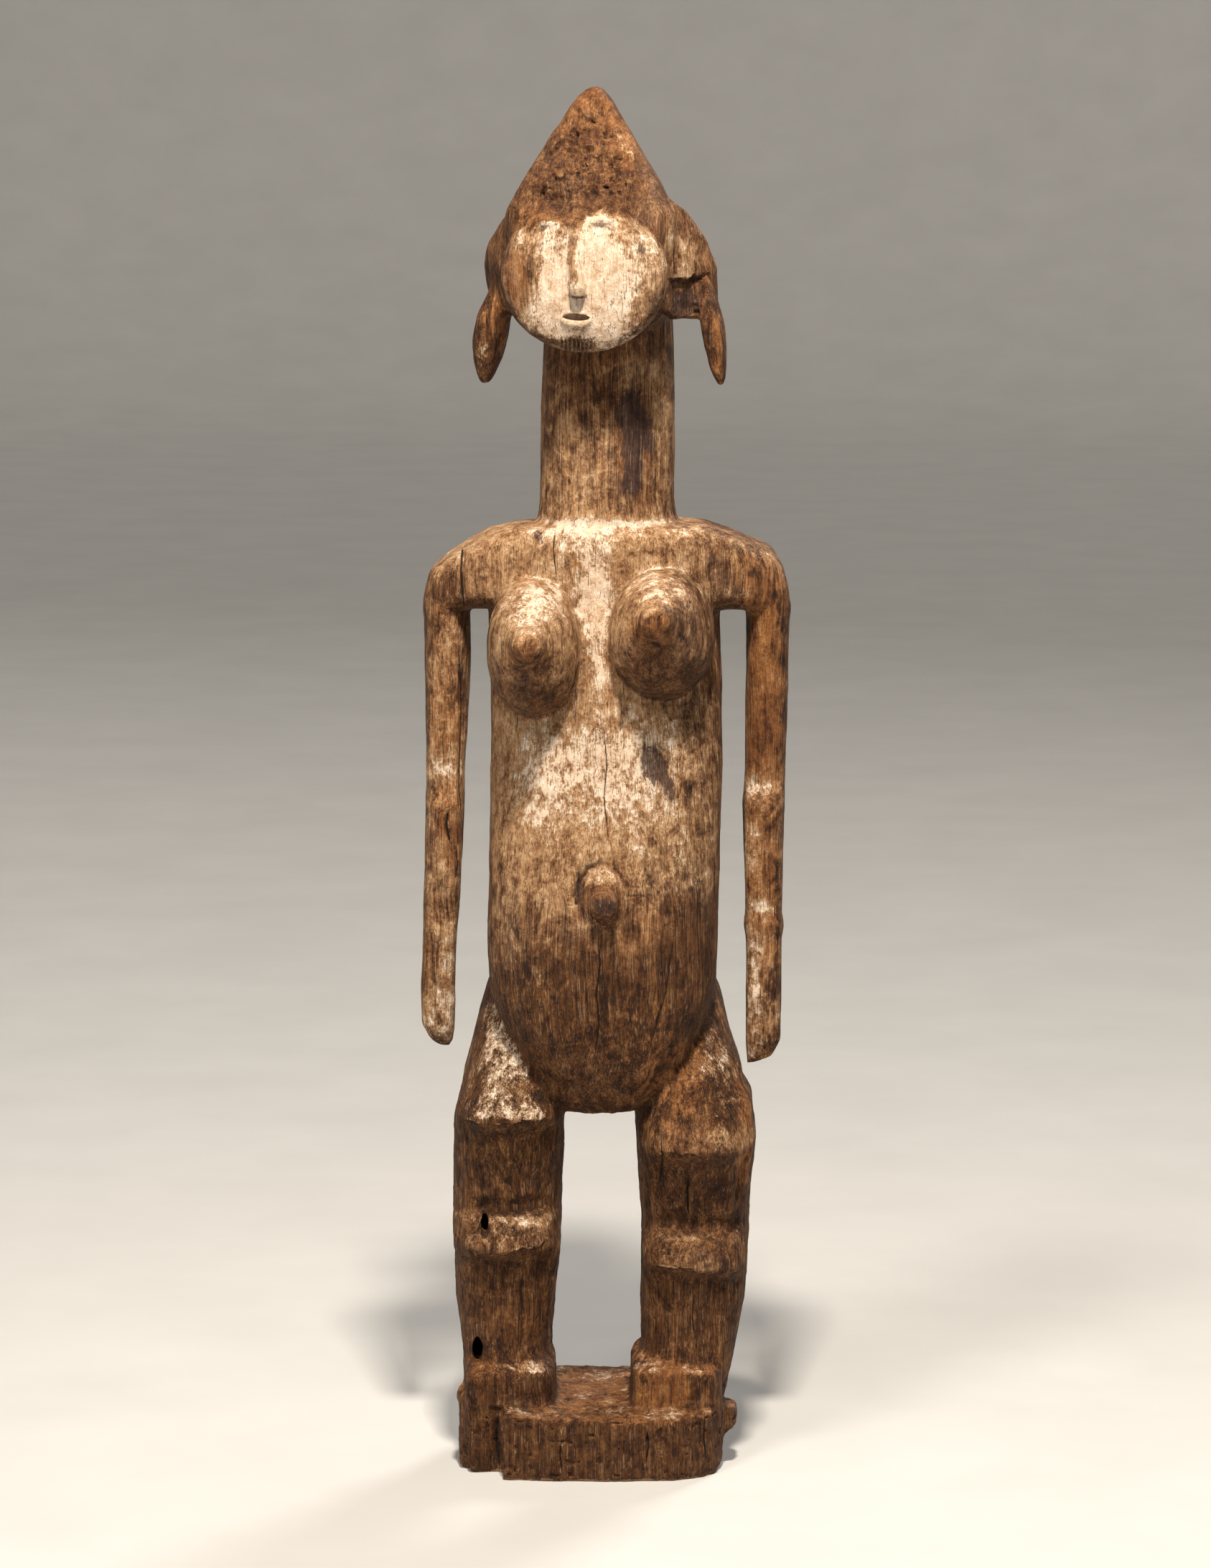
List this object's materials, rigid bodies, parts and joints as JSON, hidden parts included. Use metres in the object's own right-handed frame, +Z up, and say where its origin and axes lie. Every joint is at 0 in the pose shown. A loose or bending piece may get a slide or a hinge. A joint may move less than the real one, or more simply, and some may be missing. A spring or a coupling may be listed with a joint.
{
  "type": "mumuye female figure",
  "caption": "Standing carved wooden female figure with a peaked hood, hanging ear lobes, a long neck, arms held clear of the trunk and a base cut from the same log",
  "frame": {"origin": "on the ground at the middle of the base's flat underside, under the neck", "axes": "+Z up along the figure, -Y the way the figure faces, +X towards the figure's own left"},
  "size_m": [0.2686, 0.2079, 1],
  "materials": {
    "old_wood": "bare weathered wood with open vertical grain, old cracks, brown stains and a worn pale coating on the face and chest"
  },
  "bodies": {
    "root": {"figure": "old_wood"}
  },
  "joints": []
}
